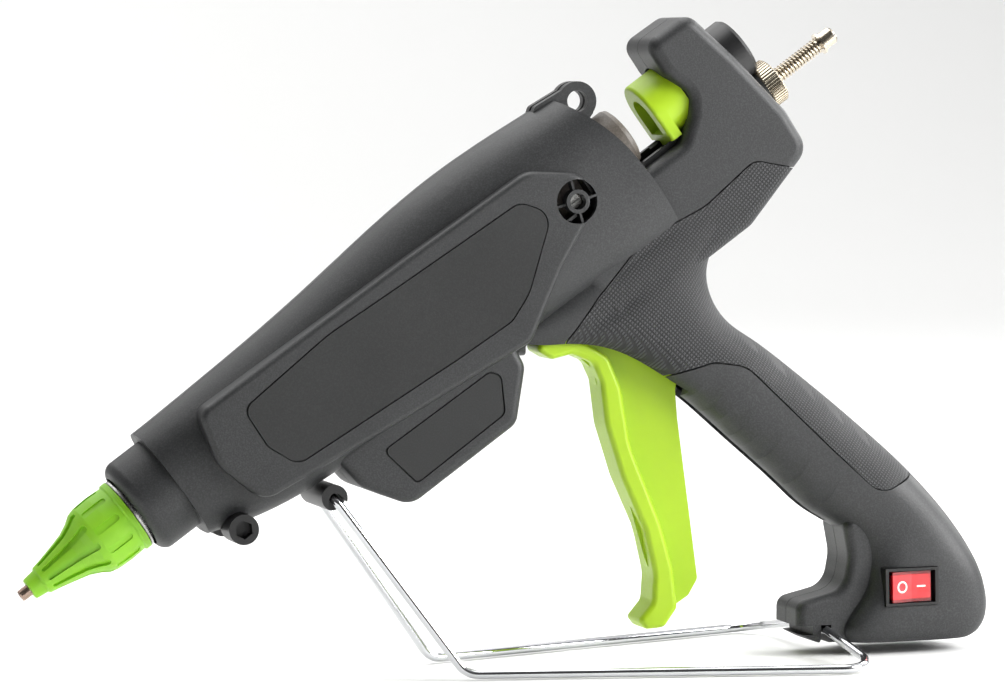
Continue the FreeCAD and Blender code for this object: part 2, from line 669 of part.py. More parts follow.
def turned_at(profile):
    """Solid of revolution about the feed rod."""
    pts = [V(u, 0, ROD_V + r) for u, r in profile]
    f = Part.Face(Part.makePolygon(pts + [pts[0]]))
    return tilt(f.revolve(V(0, 0, ROD_V), V(1, 0, 0), 360))


def end_nut():
    n = turned_at([(285.7, 2.05), (285.7, 3.1), (290.2, 3.1), (291, 2.4), (291, 0.01),
                   (286.3, 0.01), (286.3, 2.05)])
    return n.cut(tilt(box(289.8, 292, -4, 4, ROD_V - 0.4, ROD_V + 0.4)))


def nut_washer():
    return turned_at([(256.3, 2.2), (256.3, 8.2), (258.8, 8.2), (258.8, 2.2)])


def adjusting_nut():
    n = turned_at([(258.9, 2.2), (258.9, 7.6), (259.5, 8.2), (264.4, 8.2), (265, 7.6),
                   (265, 2.2)])
    cuts = []
    for k in range(48):
        b = box(258, 266, -0.25, 0.25, 7.85, 9)
        b.rotate(V(0, 0, 0), V(1, 0, 0), 7.5 * k)
        b.translate(V(0, 0, ROD_V))
        cuts.append(tilt(b))
    return n.cut(cuts)


def return_spring():
    return coil(2.55, 0.3, 1.3, 14.5, 265.4, ROD_V)


# ---- electrics --------------------------------------------------------------------
def switch_body():
    f = box(SWITCH_X - 9.5, SWITCH_X + 9.5, -20.1, -3.2, SWITCH_Z - 6.4, SWITCH_Z + 6.4)
    well = box(SWITCH_X - 8.4, SWITCH_X + 8.4, -21, -12.4, SWITCH_Z - 5.5, SWITCH_Z + 5.5)
    tabs = [box(SWITCH_X + x - 0.4, SWITCH_X + x + 0.4, -3.4, 3.4, SWITCH_Z - 2.4,
                SWITCH_Z + 2.4) for x in (-5, 5)]
    return fuse([f.cut(well)] + tabs).cut(cyl_z(0.7, SWITCH_X, -15.6, 14, 32))


def rocker():
    """Paddle on a vertical pivot, its off end standing proud."""
    w = Part.Wire(Part.makePolygon([V(-7.9, -4.4, 0), V(-0.2, -3.2, 0), V(6.8, -3.9, 0),
                                    V(6.2, 1.2, 0), V(-7.0, 1.2, 0), V(-7.9, -4.4, 0)]))
    s = Part.Face(w).extrude(V(0, 0, 10.4))
    s.translate(V(0, 0, -5.2))
    s = s.fuse(cyl_z(0.65, 0, 0, -6.1, 6.1))
    s.rotate(V(0, 0, 0), V(0, 0, 1), 7.0)
    s.translate(V(SWITCH_X, -15.6, SWITCH_Z))
    return s


def appliance_inlet():
    body = box(149, 170, -12.0, 12.0, 14.6, 29.8).common(tilt(handle_volume()))
    well = box(153.5, 172, -9.9, 9.9, 17.1, 27.3)
    pins = [Part.makeCylinder(1.2, 12, V(150, y, 22.2), V(1, 0, 0)) for y in (-4.3, 4.3)]
    tails = [box(147.6, 150, y - 0.4, y + 0.4, 20, 24.4) for y in (-4.3, 4.3)]
    return body.cut(well).fuse(pins + tails)


def control_board():
    b = box(78, 118, -0.8, 0.8, -46, -34.4)
    parts = [cyl_y(3.6, 83, -40.6, 0.8, 9.5), box(89, 101, 0.8, 9, -45, -37),
             box(104, 114, 0.8, 6, -45, -38), cyl_y(2.6, 94, -40.6, -7, -0.8),
             box(104, 112, -4.5, -0.8, -45, -39)]
    return tilt(fuse([b] + parts))


def wire_path(points, radii):
    """Polyline in space with rounded bends."""
    pts = [V(*p) for p in points]
    edges = []
    start = pts[0]
    for i in range(1, len(pts) - 1):
        p = pts[i]
        d0 = (pts[i - 1] - p).normalize()
        d1 = (pts[i + 1] - p).normalize()
        half = d0.getAngle(d1) / 2
        back = radii[i - 1] / math.tan(half)
        t0, t1 = p + d0 * back, p + d1 * back
        m = p + (d0 + d1).normalize() * (radii[i - 1] / math.sin(half) - radii[i - 1])
        edges.append(Part.LineSegment(start, t0).toShape())
        edges.append(Part.Arc(t0, m, t1).toShape())
        start = t1
    edges.append(Part.LineSegment(start, pts[-1]).toShape())
    return Part.Wire(edges)


def bent_wire(points, radii, r):
    path = wire_path(points, radii)
    a, b = V(*points[0]), V(*points[1])
    sec = Part.Wire([Part.makeCircle(r, a, b - a)])
    return path.makePipeShell([sec], True, True)


def stand_pivot():
    a = math.radians(TILT)
    return (SEAT_X + STAND_U * math.cos(a) - STAND_V * math.sin(a),
            SEAT_Z + STAND_U * math.sin(a) + STAND_V * math.cos(a))


def wire_stand():
    px, pz = stand_pivot()
    half = [(px, 13.5, pz), (-21, 23.0, WIRE_R), (104.5, 62, WIRE_R), (NOTCH_X, 50, 3.4),
            (NOTCH_X, 13, NOTCH_Z)]
    pts = [(px, 6, pz)] + half
    pts += [(x, -y, z) for x, y, z in reversed(half)] + [(px, -6, pz)]
    bends = [3, 8, 8, 12, 30]
    return bent_wire(pts, bends + bends[::-1], WIRE_R)


def trigger_pin():
    return tilt(cyl_y(1.5, TRIG_U, TRIG_V, -11.6, 11.6))


def lever_pin():
    return tilt(cyl_y(1.5, LEVER_U, LEVER_V, -11.6, 11.6))


def wiring():
    """Mains leads from the inlet past the switch to the control board."""
    out = []
    for y in (6.9, 9.1):
        pts = [(207, y, -182), (216, y, -160), (197, y, -122), (190, y, -92),
               (190, y, -28), (150, y + 2, -17.6), (112, y + 2, -25), (94, y + 2, -25)]
        out.append(tilt(bent_wire(pts, [8, 12, 14, 8, 14, 14], 0.9)))
    return Part.makeCompound(out)


def write(name, shape):
    s = shape.copy()
    s.translate(V(ORIGIN_X, 0, 0))
    s.exportStep("parts/%s.step" % name)


HALF = half_shell()
write("left_housing", left_housing())
write("right_housing", right_housing())
for side, flip in (("left", False), ("right", True)):
    for label, make in (("badge_plate", badge_plate), ("pod_plate", pod_plate)):
        write("%s_%s" % (side, label), mirror(make()) if flip else make())
    skin = tilt(grip_skin())
    write(side + "_grip_skin", mirror(skin).cut(head_holes()) if flip else skin)
for make in (plugs, stand_bracket, housing_screws, guide_screws, nozzle_cover, nozzle,
             front_ring, melt_chamber, heaters, thermal_cutout, chamber_rings, inlet_seal,
             front_guide, rear_guide, feed_tray, trigger, feed_lever, feed_carriage,
             gripper, gripper_spring, feed_rod, end_washer, end_nut, nut_washer,
             adjusting_nut, return_spring, switch_body, rocker, appliance_inlet,
             control_board, wire_stand, trigger_pin, lever_pin, wiring):
    write(make.__name__, make())
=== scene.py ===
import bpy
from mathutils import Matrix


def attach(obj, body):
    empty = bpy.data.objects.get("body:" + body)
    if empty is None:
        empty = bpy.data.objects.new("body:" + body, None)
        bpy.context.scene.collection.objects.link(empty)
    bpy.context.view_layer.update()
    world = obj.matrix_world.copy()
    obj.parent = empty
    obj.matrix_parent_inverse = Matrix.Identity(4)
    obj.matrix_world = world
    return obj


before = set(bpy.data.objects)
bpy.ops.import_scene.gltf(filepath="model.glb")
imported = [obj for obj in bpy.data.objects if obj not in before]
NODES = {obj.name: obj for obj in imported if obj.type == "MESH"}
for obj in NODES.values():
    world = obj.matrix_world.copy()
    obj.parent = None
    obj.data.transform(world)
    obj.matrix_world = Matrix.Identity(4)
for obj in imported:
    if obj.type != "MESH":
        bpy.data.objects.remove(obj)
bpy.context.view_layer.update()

import math

import bpy
from mathutils import Matrix, Vector

bl_info = {
    "name": "Trigger-feed glue gun",
    "version": (1, 0, 0),
    "blender": (4, 5, 0),
    "location": "3D View > Sidebar > Glue Gun",
    "description": "Finishes the parts of a trigger-feed hot melt glue gun on its wire stand",
    "category": "Object",
}

MM = 0.001

# The barrel leans back 35 degrees. Patterns that follow it use u along the stick, to the rear,
# and v square to it, upwards, both in metres from the nozzle's seat.
TILT = math.radians(35.0)
SEAT = Vector((-0.1295, 0.0, 0.0575))
ROCKER_PIN = Vector((0.1372, -0.0156, 0.0228))
# The handle leans 15 degrees from square to the barrel: its own s runs down it and t across.
LEAN_SIN = 0.259
LEAN_COS = 0.966
DENT_PITCH = 0.013              # from one finger dent to the next, metres
FIRST_PAD_DENT = 0.1340         # s of the top dent in the smooth pad
FIRST_REAR_DENT = 0.1291        # s of the top dent in the grip's rear edge
REAR_EDGE = 0.1784              # t of the grip's rear edge
REAR_SLANT = 1.43               # how far the rear dents run down for each step forward
PIMPLE_PITCH = 1.1 * MM
KNURLS = 48                     # grooves round the adjusting nut
ROD_DROP = 0.0165               # the feed rod's axis below the stick's
INK_THICK = 0.14 * MM


# ---- small helpers ------------------------------------------------------------------
def linear(hexcode):
    """sRGB hex to the linear colour that shader sockets take."""
    out = []
    for i in (1, 3, 5):
        c = int(hexcode[i:i + 2], 16) / 255
        out.append(c / 12.92 if c <= 0.04045 else ((c + 0.055) / 1.055) ** 2.4)
    return (*out, 1.0)


def add(tree, kind, inputs=None, out=0, **settings):
    """Adds one node with its settings, links or values, and returns an output socket."""
    n = tree.nodes.new(kind)
    for key, value in settings.items():
        setattr(n, key, value)
    for key, value in (inputs or {}).items():
        if isinstance(value, bpy.types.NodeSocket):
            tree.links.new(value, n.inputs[key])
        else:
            n.inputs[key].default_value = value
    return n.outputs[out]


def new_material(name):
    """An empty node material and its tree, its Principled node and its Object coordinates."""
    m = bpy.data.materials.new(name)
    m.use_nodes = True
    tree = m.node_tree
    surface = tree.nodes["Principled BSDF"]
    where = add(tree, "ShaderNodeTexCoord", out=3)
    return m, tree, surface, where


def along_barrel(tree, where):
    """Object coordinates turned into the barrel's own u, y and v."""
    turned = Matrix.Rotation(TILT, 3, "Y") @ SEAT
    return add(tree, "ShaderNodeMapping", {
        "Vector": where, "Location": -turned, "Rotation": (0, TILT, 0)}, vector_type="POINT")


def finish_nodes(material, names):
    """Gives carried-over CAD nodes their material."""
    for name in names:
        slots = NODES[name].data.materials
        slots.clear()
        slots.append(material)


def only(obj):
    """Leaves nothing selected but obj, which becomes active."""
    if bpy.context.object and bpy.context.object.mode != "OBJECT":
        bpy.ops.object.mode_set(mode="OBJECT")
    bpy.ops.object.select_all(action="DESELECT")
    if obj:
        obj.select_set(True)
    bpy.context.view_layer.objects.active = obj


def settle(obj, name, material, body):
    """Names a new piece, puts its place into its mesh and lets it ride on its body."""
    only(obj)
    bpy.ops.object.transform_apply(location=True, rotation=True, scale=True)
    obj.name = name
    obj.data.materials.clear()
    obj.data.materials.append(material)
    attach(obj, body)
    return obj


# ---- materials ----------------------------------------------------------------------
def moulded_nylon(name, colour, lighter, grain_mm, depth_mm, rough):
    """Glass-filled nylon from a spark-eroded mould: a fine sandy grain whose tops catch
    the light, and large soft patches a little shinier than others."""
    m, tree, surface, where = new_material(name)
    grain = add(tree, "ShaderNodeTexNoise", {
        "Vector": where, "Scale": 1000 / grain_mm, "Detail": 2.0, "Roughness": 0.6})
    # Lighter colour on the grain's tops: the nylon's own flecks, and painted highlight where the
    # grain catches the light.
    fleck_and_highlight = add(tree, "ShaderNodeMapRange", {
        "Value": grain, "From Min": 0.42, "From Max": 0.72, "To Min": 0.0, "To Max": 0.55})
    patch = add(tree, "ShaderNodeTexNoise", {"Vector": where, "Scale": 22.0, "Detail": 3.0})
    base = add(tree, "ShaderNodeMix", {
        "Factor": fleck_and_highlight, "A": linear(colour), "B": linear(lighter)}, out=2, data_type="RGBA")
    tone = add(tree, "ShaderNodeMapRange", {
        "Value": patch, "From Min": 0.3, "From Max": 0.7, "To Min": 0.88, "To Max": 1.1})
    base = add(tree, "ShaderNodeVectorMath", {0: base, "Scale": tone}, operation="SCALE")
    tree.links.new(base, surface.inputs["Base Color"])
    shine = add(tree, "ShaderNodeMapRange", {
        "Value": patch, "From Min": 0.3, "From Max": 0.7, "To Min": rough - 0.05,
        "To Max": rough + 0.06})
    tree.links.new(shine, surface.inputs["Roughness"])
    relief = add(tree, "ShaderNodeBump", {
        "Height": grain, "Strength": 0.7, "Distance": depth_mm * MM})
    tree.links.new(relief, surface.inputs["Normal"])
    surface.inputs["IOR"].default_value = 1.53
    return m


def housing_nylon():
    """The shells' nylon with the thumb and finger marks moulded in the handle's smooth pad."""
    m = moulded_nylon("Glass-filled nylon, spark-eroded grain", "#1F2021", "#3E3F40", 0.55,
                      0.05, 0.5)
    tree = m.node_tree
    surface = tree.nodes["Principled BSDF"]
    where = next(n for n in tree.nodes if n.type == "TEX_COORD").outputs[3]
    grip = handle_axes(tree, where)
    # Each dent is deepest against a curved step and runs out up the handle.
    bow = add(tree, "ShaderNodeMath", {0: grip["t"], 1: 0.150}, operation="SUBTRACT")
    bow = add(tree, "ShaderNodeMath", {0: bow, 1: bow}, operation="MULTIPLY")
    from_step = add(tree, "ShaderNodeMath", {0: bow, 1: 28.0, 2: grip["s"]},
                    operation="MULTIPLY_ADD")
    dent = repeated_dents(tree, from_step, FIRST_PAD_DENT, 5, 0.0075)
    side = add(tree, "ShaderNodeMapRange", {
        "Value": grip["t"], "From Min": 0.1455, "From Max": 0.149}, interpolation_type="SMOOTHSTEP")
    fade = add(tree, "ShaderNodeMapRange", {
        "Value": grip["t"], "From Min": 0.150, "From Max": 0.158, "To Min": 1.0, "To Max": 0.0},
        interpolation_type="SMOOTHSTEP")
    dent = add(tree, "ShaderNodeMath", {0: dent, 1: side}, operation="MULTIPLY")
    dent = add(tree, "ShaderNodeMath", {0: dent, 1: fade}, operation="MULTIPLY")
    sink = add(tree, "ShaderNodeMath", {0: dent, 1: -1.0}, operation="MULTIPLY")
    old = surface.inputs["Normal"].links[0].from_socket
    relief = add(tree, "ShaderNodeBump", {
        "Height": sink, "Strength": 1.0, "Distance": 1.3 * MM, "Normal": old})
    tree.links.new(relief, surface.inputs["Normal"])
    # Each step's foot is darkened in the colour: painted shade in the crease there.
    old = surface.inputs["Base Color"].links[0].from_socket
    painted_crease_shade = add(tree, "ShaderNodeMapRange", {
        "Value": dent, "From Min": 0.8, "From Max": 0.97, "To Min": 1.0, "To Max": 0.4})
    tree.links.new(add(tree, "ShaderNodeVectorMath", {0: old, "Scale": painted_crease_shade},
                       operation="SCALE"), surface.inputs["Base Color"])
    return m


def handle_axes(tree, where):
    """s runs down the handle and t across it to the rear, both in metres."""
    uyv = along_barrel(tree, where)
    split = add(tree, "ShaderNodeSeparateXYZ", {0: uyv}).node.outputs
    u, y, v = split[0], split[1], split[2]
    s = add(tree, "ShaderNodeMath", {0: v, 1: -LEAN_COS}, operation="MULTIPLY")
    s = add(tree, "ShaderNodeMath", {0: u, 1: LEAN_SIN, 2: s}, operation="MULTIPLY_ADD")
    t = add(tree, "ShaderNodeMath", {0: v, 1: LEAN_SIN}, operation="MULTIPLY")
    t = add(tree, "ShaderNodeMath", {0: u, 1: LEAN_COS, 2: t}, operation="MULTIPLY_ADD")
    return {"s": s, "t": t, "y": y}


def repeated_dents(tree, place, first, count, run):
    """Saw-tooth dents one pitch apart: 1 against the step, falling to 0 over run."""
    n = add(tree, "ShaderNodeMath", {0: place, 1: first}, operation="SUBTRACT")
    n = add(tree, "ShaderNodeMath", {0: n, 1: DENT_PITCH}, operation="DIVIDE")
    saw = add(tree, "ShaderNodeMath", {0: n}, operation="FRACT")
    deep = add(tree, "ShaderNodeMapRange", {
        "Value": saw, "From Min": 1.0 - run / DENT_PITCH, "From Max": 1.0})
    above = add(tree, "ShaderNodeMath", {0: n, 1: -0.99}, operation="GREATER_THAN")
    below = add(tree, "ShaderNodeMath", {0: n, 1: count - 1.0}, operation="LESS_THAN")
    both = add(tree, "ShaderNodeMath", {0: above, 1: below}, operation="MULTIPLY")
    return add(tree, "ShaderNodeMath", {0: deep, 1: both}, operation="MULTIPLY")


def grip_rubber():
    """Soft thermoplastic rubber moulded over the handle: rows of small square pimples that read as
    a fine check, with painted highlight on their tops and painted shade between them, varied by
    patches of wear, and smooth thumb dents."""
    m, tree, surface, where = new_material("Thermoplastic rubber, pimpled grip")
    grip = handle_axes(tree, where)
    flat = add(tree, "ShaderNodeMath", {0: grip["y"]}, operation="ABSOLUTE")
    across = add(tree, "ShaderNodeMath", {0: grip["t"], 1: flat}, operation="SUBTRACT")
    waves = []
    for place in (grip["s"], across):
        a = add(tree, "ShaderNodeMath", {0: place, 1: 2 * math.pi / PIMPLE_PITCH},
                operation="MULTIPLY")
        a = add(tree, "ShaderNodeMath", {0: a}, operation="SINE")
        waves.append(add(tree, "ShaderNodeMapRange", {
            "Value": a, "From Min": -0.75, "From Max": 0.35}))
    pimple = add(tree, "ShaderNodeMath", {0: waves[0], 1: waves[1]}, operation="MULTIPLY")
    slant = add(tree, "ShaderNodeMath", {0: grip["t"], 1: REAR_SLANT, 2: grip["s"]},
                operation="MULTIPLY_ADD")
    dent = repeated_dents(tree, slant, FIRST_REAR_DENT + REAR_SLANT * REAR_EDGE, 5, 0.0065)
    rear = add(tree, "ShaderNodeMapRange", {
        "Value": grip["t"], "From Min": 0.1735, "From Max": 0.1765},
        interpolation_type="SMOOTHSTEP")
    dent = add(tree, "ShaderNodeMath", {0: dent, 1: rear}, operation="MULTIPLY")
    low = add(tree, "ShaderNodeMath", {0: grip["s"], 1: 0.115}, operation="GREATER_THAN")
    dent = add(tree, "ShaderNodeMath", {0: dent, 1: low}, operation="MULTIPLY")
    smooth = add(tree, "ShaderNodeMapRange", {
        "Value": dent, "From Min": 0.1, "From Max": 0.45, "To Min": 1.0, "To Max": 0.0})
    pimple = add(tree, "ShaderNodeMath", {0: pimple, 1: smooth}, operation="MULTIPLY")
    wear = add(tree, "ShaderNodeTexNoise", {"Vector": where, "Scale": 35.0, "Detail": 4.0})
    tops = add(tree, "ShaderNodeMapRange", {
        "Value": wear, "From Min": 0.35, "From Max": 0.7, "To Min": 0.75, "To Max": 1.15})
    # Pimple tops painted lighter and the gaps between them darker: painted highlight and painted
    # shade, scaled by the wear patches.
    painted_pimple_light = add(tree, "ShaderNodeMath", {0: pimple, 1: tops}, operation="MULTIPLY")
    base = add(tree, "ShaderNodeMix", {
        "Factor": painted_pimple_light, "A": linear("#1C1C1D"), "B": linear("#424345")}, out=2,
        data_type="RGBA")
    tree.links.new(base, surface.inputs["Base Color"])
    tree.links.new(add(tree, "ShaderNodeMapRange", {
        "Value": wear, "From Min": 0.3, "From Max": 0.7, "To Min": 0.5, "To Max": 0.66}),
        surface.inputs["Roughness"])
    fine = add(tree, "ShaderNodeTexNoise", {"Vector": where, "Scale": 2600.0, "Detail": 1.0})
    relief = add(tree, "ShaderNodeBump", {
        "Height": fine, "Strength": 0.3, "Distance": 0.02 * MM})
    relief = add(tree, "ShaderNodeBump", {
        "Height": pimple, "Strength": 0.9, "Distance": 0.22 * MM, "Normal": relief})
    sink = add(tree, "ShaderNodeMath", {0: dent, 1: -1.0}, operation="MULTIPLY")
    relief = add(tree, "ShaderNodeBump", {
        "Height": sink, "Strength": 1.0, "Distance": 1.5 * MM, "Normal": relief})
    tree.links.new(relief, surface.inputs["Normal"])
    surface.inputs["IOR"].default_value = 1.5
    return m


def satin_moulding(name, colour, painted_pimple_light, rough, soft, grain_mm):
    """Bright moulding or ink: an even satin skin, faint flow marks and, where soft is more
    than 0, a little light passing through its edges."""
    m, tree, surface, where = new_material(name)
    flow = add(tree, "ShaderNodeTexNoise", {
        "Vector": along_barrel(tree, where), "Scale": 16.0, "Detail": 4.0, "Distortion": 0.6})
    mix = add(tree, "ShaderNodeMapRange", {
        "Value": flow, "From Min": 0.3, "From Max": 0.72})
    base = add(tree, "ShaderNodeMix", {
        "Factor": mix, "A": linear(painted_pimple_light), "B": linear(colour)}, out=2, data_type="RGBA")
    tree.links.new(base, surface.inputs["Base Color"])
    grain = add(tree, "ShaderNodeTexNoise", {
        "Vector": where, "Scale": 1000 / grain_mm, "Detail": 2.0})
    tree.links.new(add(tree, "ShaderNodeMapRange", {
        "Value": grain, "From Min": 0.3, "From Max": 0.7, "To Min": rough - 0.05,
        "To Max": rough + 0.05}), surface.inputs["Roughness"])
    tree.links.new(add(tree, "ShaderNodeBump", {
        "Height": grain, "Strength": 0.4, "Distance": 0.02 * MM}), surface.inputs["Normal"])
    surface.inputs["Subsurface Weight"].default_value = soft
    surface.inputs["Subsurface Radius"].default_value = (0.6, 1.0, 0.25)
    surface.inputs["Subsurface Scale"].default_value = 0.0012
    surface.inputs["IOR"].default_value = 1.46
    return m


def worked_metal(name, colour, painted_pimple_light, rough, scratch_mm, depth_mm):
    """Plated or turned metal: tone varies softly, and fine scratches catch the light."""
    m, tree, surface, where = new_material(name)
    cloud = add(tree, "ShaderNodeTexNoise", {"Vector": where, "Scale": 60.0, "Detail": 4.0})
    base = add(tree, "ShaderNodeMix", {
        "Factor": cloud, "A": linear(painted_pimple_light), "B": linear(colour)}, out=2, data_type="RGBA")
    tree.links.new(base, surface.inputs["Base Color"])
    fine = add(tree, "ShaderNodeMapping", {
        "Vector": along_barrel(tree, where), "Scale": (0.2, 1.0, 1.0)})
    fine = add(tree, "ShaderNodeTexNoise", {
        "Vector": fine, "Scale": 1000 / scratch_mm, "Detail": 3.0})
    tree.links.new(add(tree, "ShaderNodeMapRange", {
        "Value": fine, "From Min": 0.35, "From Max": 0.7, "To Min": max(rough - 0.05, 0.03),
        "To Max": rough + 0.08}), surface.inputs["Roughness"])
    tree.links.new(add(tree, "ShaderNodeBump", {
        "Height": fine, "Strength": 0.25, "Distance": depth_mm * MM}), surface.inputs["Normal"])
    surface.inputs["Metallic"].default_value = 1.0
    return m


def knurled_nickel():
    """Turned brass with nickel plate: warm and bright, straight knurling on the rim."""
    m = worked_metal("Nickel-plated brass, knurled", "#D9CFBC", "#A99F8C", 0.2, 0.4, 0.01)
    tree = m.node_tree
    surface = tree.nodes["Principled BSDF"]
    where = next(n for n in tree.nodes if n.type == "TEX_COORD").outputs[3]
    split = add(tree, "ShaderNodeSeparateXYZ", {0: along_barrel(tree, where)}).node.outputs
    down = add(tree, "ShaderNodeMath", {0: split[2], 1: ROD_DROP}, operation="ADD")
    turn = add(tree, "ShaderNodeMath", {0: split[1], 1: down}, operation="ARCTAN2")
    turn = add(tree, "ShaderNodeMath", {0: turn, 1: float(KNURLS)}, operation="MULTIPLY")
    cross = add(tree, "ShaderNodeMath", {0: turn}, operation="SINE")
    old = surface.inputs["Normal"].links[0].from_socket
    tree.links.new(add(tree, "ShaderNodeBump", {
        "Height": cross, "Strength": 0.6, "Distance": 0.12 * MM, "Normal": old}),
        surface.inputs["Normal"])
    return m


def rocker_plastic():
    """Clear red polycarbonate: glossy, with light sinking in, and darker bands down its
    sides where it thickens."""
    m, tree, surface, where = new_material("Polycarbonate, translucent red")
    split = add(tree, "ShaderNodeSeparateXYZ", {0: where}).node.outputs
    up = add(tree, "ShaderNodeMath", {0: split[2], 1: ROCKER_PIN.z}, operation="SUBTRACT")
    up = add(tree, "ShaderNodeMath", {0: up}, operation="ABSOLUTE")
    band = add(tree, "ShaderNodeMapRange", {
        "Value": up, "From Min": 0.0038, "From Max": 0.0044})
    cloud = add(tree, "ShaderNodeTexNoise", {"Vector": where, "Scale": 260.0, "Detail": 2.0})
    red = add(tree, "ShaderNodeMix", {
        "Factor": cloud, "A": linear("#C0141C"), "B": linear("#EE343C")}, out=2,
        data_type="RGBA")
    base = add(tree, "ShaderNodeMix", {
        "Factor": band, "A": red, "B": linear("#7A0D12")}, out=2, data_type="RGBA")
    tree.links.new(base, surface.inputs["Base Color"])
    tree.links.new(add(tree, "ShaderNodeMapRange", {
        "Value": cloud, "To Min": 0.1, "To Max": 0.26}), surface.inputs["Roughness"])
    surface.inputs["Subsurface Weight"].default_value = 0.25
    surface.inputs["Subsurface Radius"].default_value = (1.0, 0.12, 0.1)
    surface.inputs["Subsurface Scale"].default_value = 0.0015
    surface.inputs["IOR"].default_value = 1.58
    return m


MADE = {}


def make_materials():
    """Every finish on the gun, made once."""
    MADE["housing"] = housing_nylon()
    # The plates are darker than the shells: partly their own darker tone, and partly painted shade
    # for the dim light on the gun's left side.
    MADE["plate"] = moulded_nylon("Glass-filled nylon, finer grain", "#141515", "#282929",
                                  0.5, 0.03, 0.46)
    MADE["black"] = moulded_nylon("Black nylon, satin", "#0E0E0F", "#1D1D1E", 0.6, 0.02, 0.4)
    MADE["grip"] = grip_rubber()
    MADE["green"] = satin_moulding("Lime nylon, satin", "#A9CC22", "#9DBF1B", 0.4, 0.12, 0.9)
    MADE["boot"] = satin_moulding("Green silicone rubber", "#8FCB2B", "#82BE22", 0.46, 0.25,
                                  0.7)
    MADE["rocker"] = rocker_plastic()
    MADE["white"] = satin_moulding("White pad-printed ink", "#F2F0EC", "#E2E0DB", 0.5, 0.0,
                                   0.5)
    MADE["chrome"] = worked_metal("Chrome-plated spring steel", "#DADBDD", "#C4C5C8", 0.08,
                                  0.5, 0.004)
    MADE["nickel"] = worked_metal("Nickel-plated steel", "#D3C9B8", "#A69C8B", 0.2, 0.4,
                                  0.01)
    MADE["knurl"] = knurled_nickel()
    MADE["steel"] = worked_metal("Zinc-plated steel", "#C2C2C0", "#9B9B98", 0.28, 0.5, 0.01)
    MADE["copper"] = worked_metal("Copper alloy, tinned and heat-tinted", "#C9B2A4",
                                  "#8D7468", 0.26, 0.5, 0.01)
    MADE["cast"] = worked_metal("Cast aluminium", "#B9BABA", "#8F9090", 0.45, 0.9, 0.04)
    MADE["collar"] = moulded_nylon("Heat-proof silicone, warm grey", "#5B544C", "#7D766D",
                                   0.8, 0.03, 0.5)
    MADE["ceramic"] = moulded_nylon("Steatite ceramic, unglazed", "#CFC9BC", "#E8E3D8", 0.9,
                                    0.03, 0.6)
    MADE["board"] = moulded_nylon("Fibreglass board, green lacquer", "#1F5B33", "#3F7F52",
                                  0.8, 0.02, 0.35)


# ---- sizes a user may change --------------------------------------------------------
class GlueGunSwitchSettings(bpy.types.PropertyGroup):
    ring_radius: bpy.props.FloatProperty(
        name="Off ring", description="Radius of the off mark on the rocker",
        default=1.75 * MM, min=0.5 * MM, max=3 * MM, subtype="DISTANCE", unit="LENGTH")
    bar_length: bpy.props.FloatProperty(
        name="On bar", description="Length of the on mark on the rocker",
        default=3.2 * MM, min=1 * MM, max=6 * MM, subtype="DISTANCE", unit="LENGTH")
    mark_width: bpy.props.FloatProperty(
        name="Mark width", description="Line width of both marks",
        default=0.6 * MM, min=0.2 * MM, max=1.5 * MM, subtype="DISTANCE", unit="LENGTH")


class GlueGunStageSettings(bpy.types.PropertyGroup):
    floor_colour: bpy.props.FloatVectorProperty(
        name="Floor", description="Colour of the floor", subtype="COLOR", size=4,
        default=linear("#F4F4F3"), min=0.0, max=1.0)
    lens: bpy.props.FloatProperty(
        name="Lens", description="Focal length of the camera", default=175.5, min=20,
        max=400, subtype="DISTANCE_CAMERA", unit="CAMERA")
    camera_distance: bpy.props.FloatProperty(
        name="Camera distance", description="From the middle of the gun to the camera",
        default=1.6415, min=0.5, max=5, subtype="DISTANCE", unit="LENGTH")


# ---- operators, one for each group of pieces ----------------------------------------
class GLUEGUN_OT_shells(bpy.types.Operator):
    """Finish the housing shells, their inset plates and the black plugs"""
    bl_idname = "gluegun.shells"
    bl_label = "Housing shells"

    def execute(self, context):
        make_materials()
        finish_nodes(MADE["housing"], ["left_housing", "right_housing"])
        finish_nodes(MADE["plate"], ["left_badge_plate", "right_badge_plate",
                                     "left_pod_plate", "right_pod_plate"])
        finish_nodes(MADE["black"], ["plugs", "stand_bracket"])
        return {"FINISHED"}


class GLUEGUN_OT_grips(bpy.types.Operator):
    """Finish the soft grip skins on the handle"""
    bl_idname = "gluegun.grips"
    bl_label = "Grip skins"

    def execute(self, context):
        finish_nodes(MADE["grip"], ["left_grip_skin", "right_grip_skin"])
        return {"FINISHED"}


class GLUEGUN_OT_hot_end(bpy.types.Operator):
    """Finish the nozzle, its silicone cover and the heated parts behind it"""
    bl_idname = "gluegun.hot_end"
    bl_label = "Hot end"

    def execute(self, context):
        finish_nodes(MADE["boot"], ["nozzle_cover"])
        finish_nodes(MADE["copper"], ["nozzle"])
        finish_nodes(MADE["steel"], ["front_ring"])
        finish_nodes(MADE["cast"], ["melt_chamber"])
        finish_nodes(MADE["ceramic"], ["heaters", "chamber_rings"])
        finish_nodes(MADE["black"], ["thermal_cutout"])
        finish_nodes(MADE["collar"], ["inlet_seal"])
        return {"FINISHED"}


class GLUEGUN_OT_feed(bpy.types.Operator):
    """Finish the trigger, the feed works and the stick guides"""
    bl_idname = "gluegun.feed"
    bl_label = "Trigger and feed"

    def execute(self, context):
        finish_nodes(MADE["green"], ["trigger", "gripper"])
        finish_nodes(MADE["collar"], ["front_guide"])
        finish_nodes(MADE["black"], ["rear_guide", "feed_tray", "feed_carriage",
                                     "nut_washer"])
        finish_nodes(MADE["nickel"], ["feed_rod", "end_washer", "end_nut", "return_spring"])
        finish_nodes(MADE["knurl"], ["adjusting_nut"])
        finish_nodes(MADE["steel"], ["feed_lever", "trigger_pin", "lever_pin",
                                     "gripper_spring", "housing_screws", "guide_screws"])
        return {"FINISHED"}


